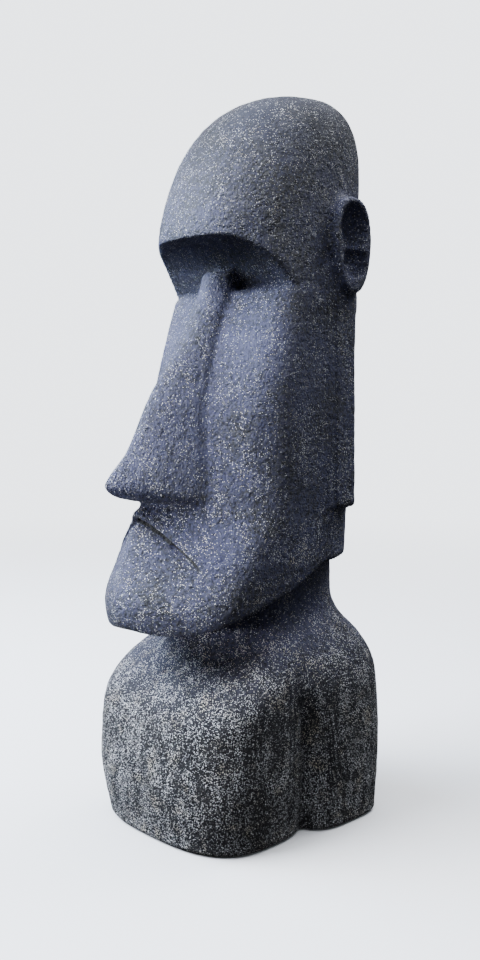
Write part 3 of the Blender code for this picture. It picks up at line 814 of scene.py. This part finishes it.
# %% Sheen
PATCHES, ROUGH_PATCHES = 45.0, (0.3, 0.7, 0.46, 0.60)
FOOT_DULL, CROWN_DULL, SPECULAR = 0.34, 0.26, 0.52
dull = sums("MULTIPLY_ADD", foot_coat, FOOT_DULL, fade(height, *CROWN_FADE, 0.0, CROWN_DULL))
rough = sums("ADD", fade(clouds(PATCHES, 3.0), *ROUGH_PATCHES), dull)
tree.links.new(rough, shader.inputs["Roughness"])
shader.inputs["Specular IOR Level"].default_value = SPECULAR
statue.data.materials.append(stone_finish)
print(len(tree.nodes), "nodes in the finish")

# %% [markdown]
# ## Floor
# The statue stands on a plain pale floor, as in a studio. A wide disc is enough. Far off
# it turns into the backdrop's own glow, so no horizon is seen behind the statue. The floor
# shows to the camera but throws no light up at the statue, which keeps the shade dark.

# %% Floor
FLOOR_RADIUS, FLOOR_SIDES = 9, 128
FLOOR_PALE, FLOOR_ROUGH = (0.80, 0.80, 0.81, 1.0), 0.9
GLOW_START, GLOW_FULL = 0.5, 4.0
BACKDROP, BACKDROP_STRENGTH = (0.90, 0.94, 1.0, 1.0), 3.4
angle = np.linspace(0, math.tau, FLOOR_SIDES + 1)[:-1]
disc = np.stack([FLOOR_RADIUS * np.cos(angle), FLOOR_RADIUS * np.sin(angle), 0 * angle],
                axis=1)
floor_mesh = bpy.data.meshes.new("studio_floor")
floor_mesh.from_pydata(disc.tolist(), [], [list(range(FLOOR_SIDES))])
floor = bpy.data.objects.new("studio_floor", floor_mesh)
bpy.context.scene.collection.objects.link(floor)
floor.visible_diffuse = False
floor.visible_glossy = False
print("floor of", 2 * FLOOR_RADIUS, "m across")

# %% The floor's finish
pale_floor = bpy.data.materials.new("pale_floor")
pale_floor.use_nodes = True
parts = pale_floor.node_tree.nodes
wire = pale_floor.node_tree.links.new
parts["Principled BSDF"].inputs["Base Color"].default_value = FLOOR_PALE
parts["Principled BSDF"].inputs["Roughness"].default_value = FLOOR_ROUGH
span = parts.new("ShaderNodeVectorMath")
span.operation = "LENGTH"
wire(parts.new("ShaderNodeTexCoord").outputs["Object"], span.inputs[0])
distant = parts.new("ShaderNodeMapRange")
distant.interpolation_type = "SMOOTHSTEP"
distant.inputs["From Min"].default_value = GLOW_START
distant.inputs["From Max"].default_value = GLOW_FULL
wire(span.outputs["Value"], distant.inputs["Value"])
glow = parts.new("ShaderNodeEmission")
glow.inputs["Color"].default_value = BACKDROP
glow.inputs["Strength"].default_value = BACKDROP_STRENGTH
mixed = parts.new("ShaderNodeMixShader")
wire(distant.outputs["Result"], mixed.inputs[0])
wire(parts["Principled BSDF"].outputs[0], mixed.inputs[1])
wire(glow.outputs[0], mixed.inputs[2])
wire(mixed.outputs[0], parts["Material Output"].inputs["Surface"])
floor_mesh.materials.append(pale_floor)
print("the floor is all glow from", GLOW_FULL, "m out")

# %% [markdown]
# ## Light
# One broad cool panel stands high in front and a little to the statue's right, as an open
# sky would, and a smaller bluer one fills beside it. A narrow card at lip height lifts the
# lip out of the shade of the nose, and a panel far behind draws the edge of the crown and
# shoulder. The side turned away from them all stays dark.

# %% Light
FULL_SPREAD, LIP_SPREAD = 180.0, 12.0


def panel(name, place, target, size, power, colour, spread=FULL_SPREAD):
    """A square panel of light at a place, turned to face its target: first tipped up from
    straight down, then turned about the upright. The spread is its beam in degrees."""
    light = bpy.data.lights.new(name, "AREA")
    light.size = size
    light.energy = power
    light.color = colour
    light.spread = math.radians(spread)
    lamp = bpy.data.objects.new(name, light)
    bpy.context.scene.collection.objects.link(lamp)
    aim = np.array(target) - np.array(place)
    turn = math.atan2(aim[1], aim[0]) - math.pi / 2
    tip = math.atan2(math.hypot(aim[0], aim[1]), -aim[2])
    lamp.location = place
    lamp.rotation_euler = (tip, 0.0, turn)
    print(name, "stands", round(float(np.linalg.norm(aim)), 2), "m from its target")


panel("sky_panel", (-1.25, -2.20, 2.75), (0.0, 0.0, 0.5), 2.2, 450.0, (0.86, 0.91, 1.0))
panel("side_panel", (-2.30, -1.15, 1.75), (0.0, 0.0, 0.6), 1.4, 170.0, (0.66, 0.80, 1.0))
panel("lip_card", (-0.50, -2.40, 0.42), (0.0, -0.15, 0.42), 0.2, 0.48, (0.90, 0.93, 1.0),
      LIP_SPREAD)
panel("back_panel", (0.50, 3.00, 5.00), (0.0, 0.0, 0.3), 2.4, 220.0, (0.92, 0.95, 1.0))

# %% [markdown]
# ## The room around
# The statue is lit by the room as well: hardly at all from the sides, and strongly from
# overhead, so its upper faces are cool and clear. The camera sees an even backdrop in
# place of that, so the picture stays plain. The light is a little everywhere, plus a
# power of how steeply up one looks.

# %% World
STEEPNESS, OVERHEAD, EVERYWHERE = 6.0, 6.0, 0.12
world = bpy.data.worlds.new("studio")
world.use_nodes = True
sky = world.node_tree
up = sky.nodes.new("ShaderNodeSeparateXYZ")
sky.links.new(sky.nodes.new("ShaderNodeTexCoord").outputs["Generated"], up.inputs[0])
shade = sky.nodes.new("ShaderNodeMapRange")
for socket, number in (("From Min", 0.0), ("From Max", 1.0), ("To Min", 0.0), ("To Max", 1.0)):
    shade.inputs[socket].default_value = number
sky.links.new(up.outputs["Z"], shade.inputs["Value"])
seen = sky.nodes.new("ShaderNodeMix")
watched = sky.nodes.new("ShaderNodeLightPath").outputs["Is Camera Ray"]
sky.links.new(watched, seen.inputs["Factor"])
steep = sky.nodes.new("ShaderNodeMath")
steep.operation = "POWER"
sky.links.new(shade.outputs["Result"], steep.inputs[0])
steep.inputs[1].default_value = STEEPNESS
strong = sky.nodes.new("ShaderNodeMath")
strong.operation = "MULTIPLY_ADD"
sky.links.new(steep.outputs[0], strong.inputs[0])
strong.inputs[1].default_value = OVERHEAD
strong.inputs[2].default_value = EVERYWHERE
sky.links.new(strong.outputs[0], seen.inputs["A"])
seen.inputs["B"].default_value = BACKDROP_STRENGTH
background = sky.nodes["Background"]
background.inputs["Color"].default_value = BACKDROP
sky.links.new(seen.outputs["Result"], background.inputs["Strength"])
bpy.context.scene.world = world
print("the room's light is", EVERYWHERE, "level and", EVERYWHERE + OVERHEAD, "overhead")

# %% [markdown]
# ## Camera
# The statue is looked at from its left front at half its height, quite near, which is why
# the head looms over the base.

# %% Camera
AZIMUTH, AWAY, EYE = math.radians(46), 1.40, 0.55
SENSOR, FOCAL, SHIFT = 36.0, 37.3, (-0.0042, -0.072)
lens = bpy.data.cameras.new("viewer")
lens.sensor_fit = "VERTICAL"
lens.sensor_height = SENSOR
lens.lens = FOCAL
lens.shift_x, lens.shift_y = SHIFT
camera = bpy.data.objects.new("viewer", lens)
camera.location = (AWAY * math.sin(AZIMUTH), -AWAY * math.cos(AZIMUTH), EYE)
camera.rotation_euler = (math.pi / 2, 0.0, AZIMUTH)
bpy.context.scene.collection.objects.link(camera)
bpy.context.scene.camera = camera
print("the camera sees", round(SENSOR / FOCAL * AWAY, 2), "m of height at the statue")
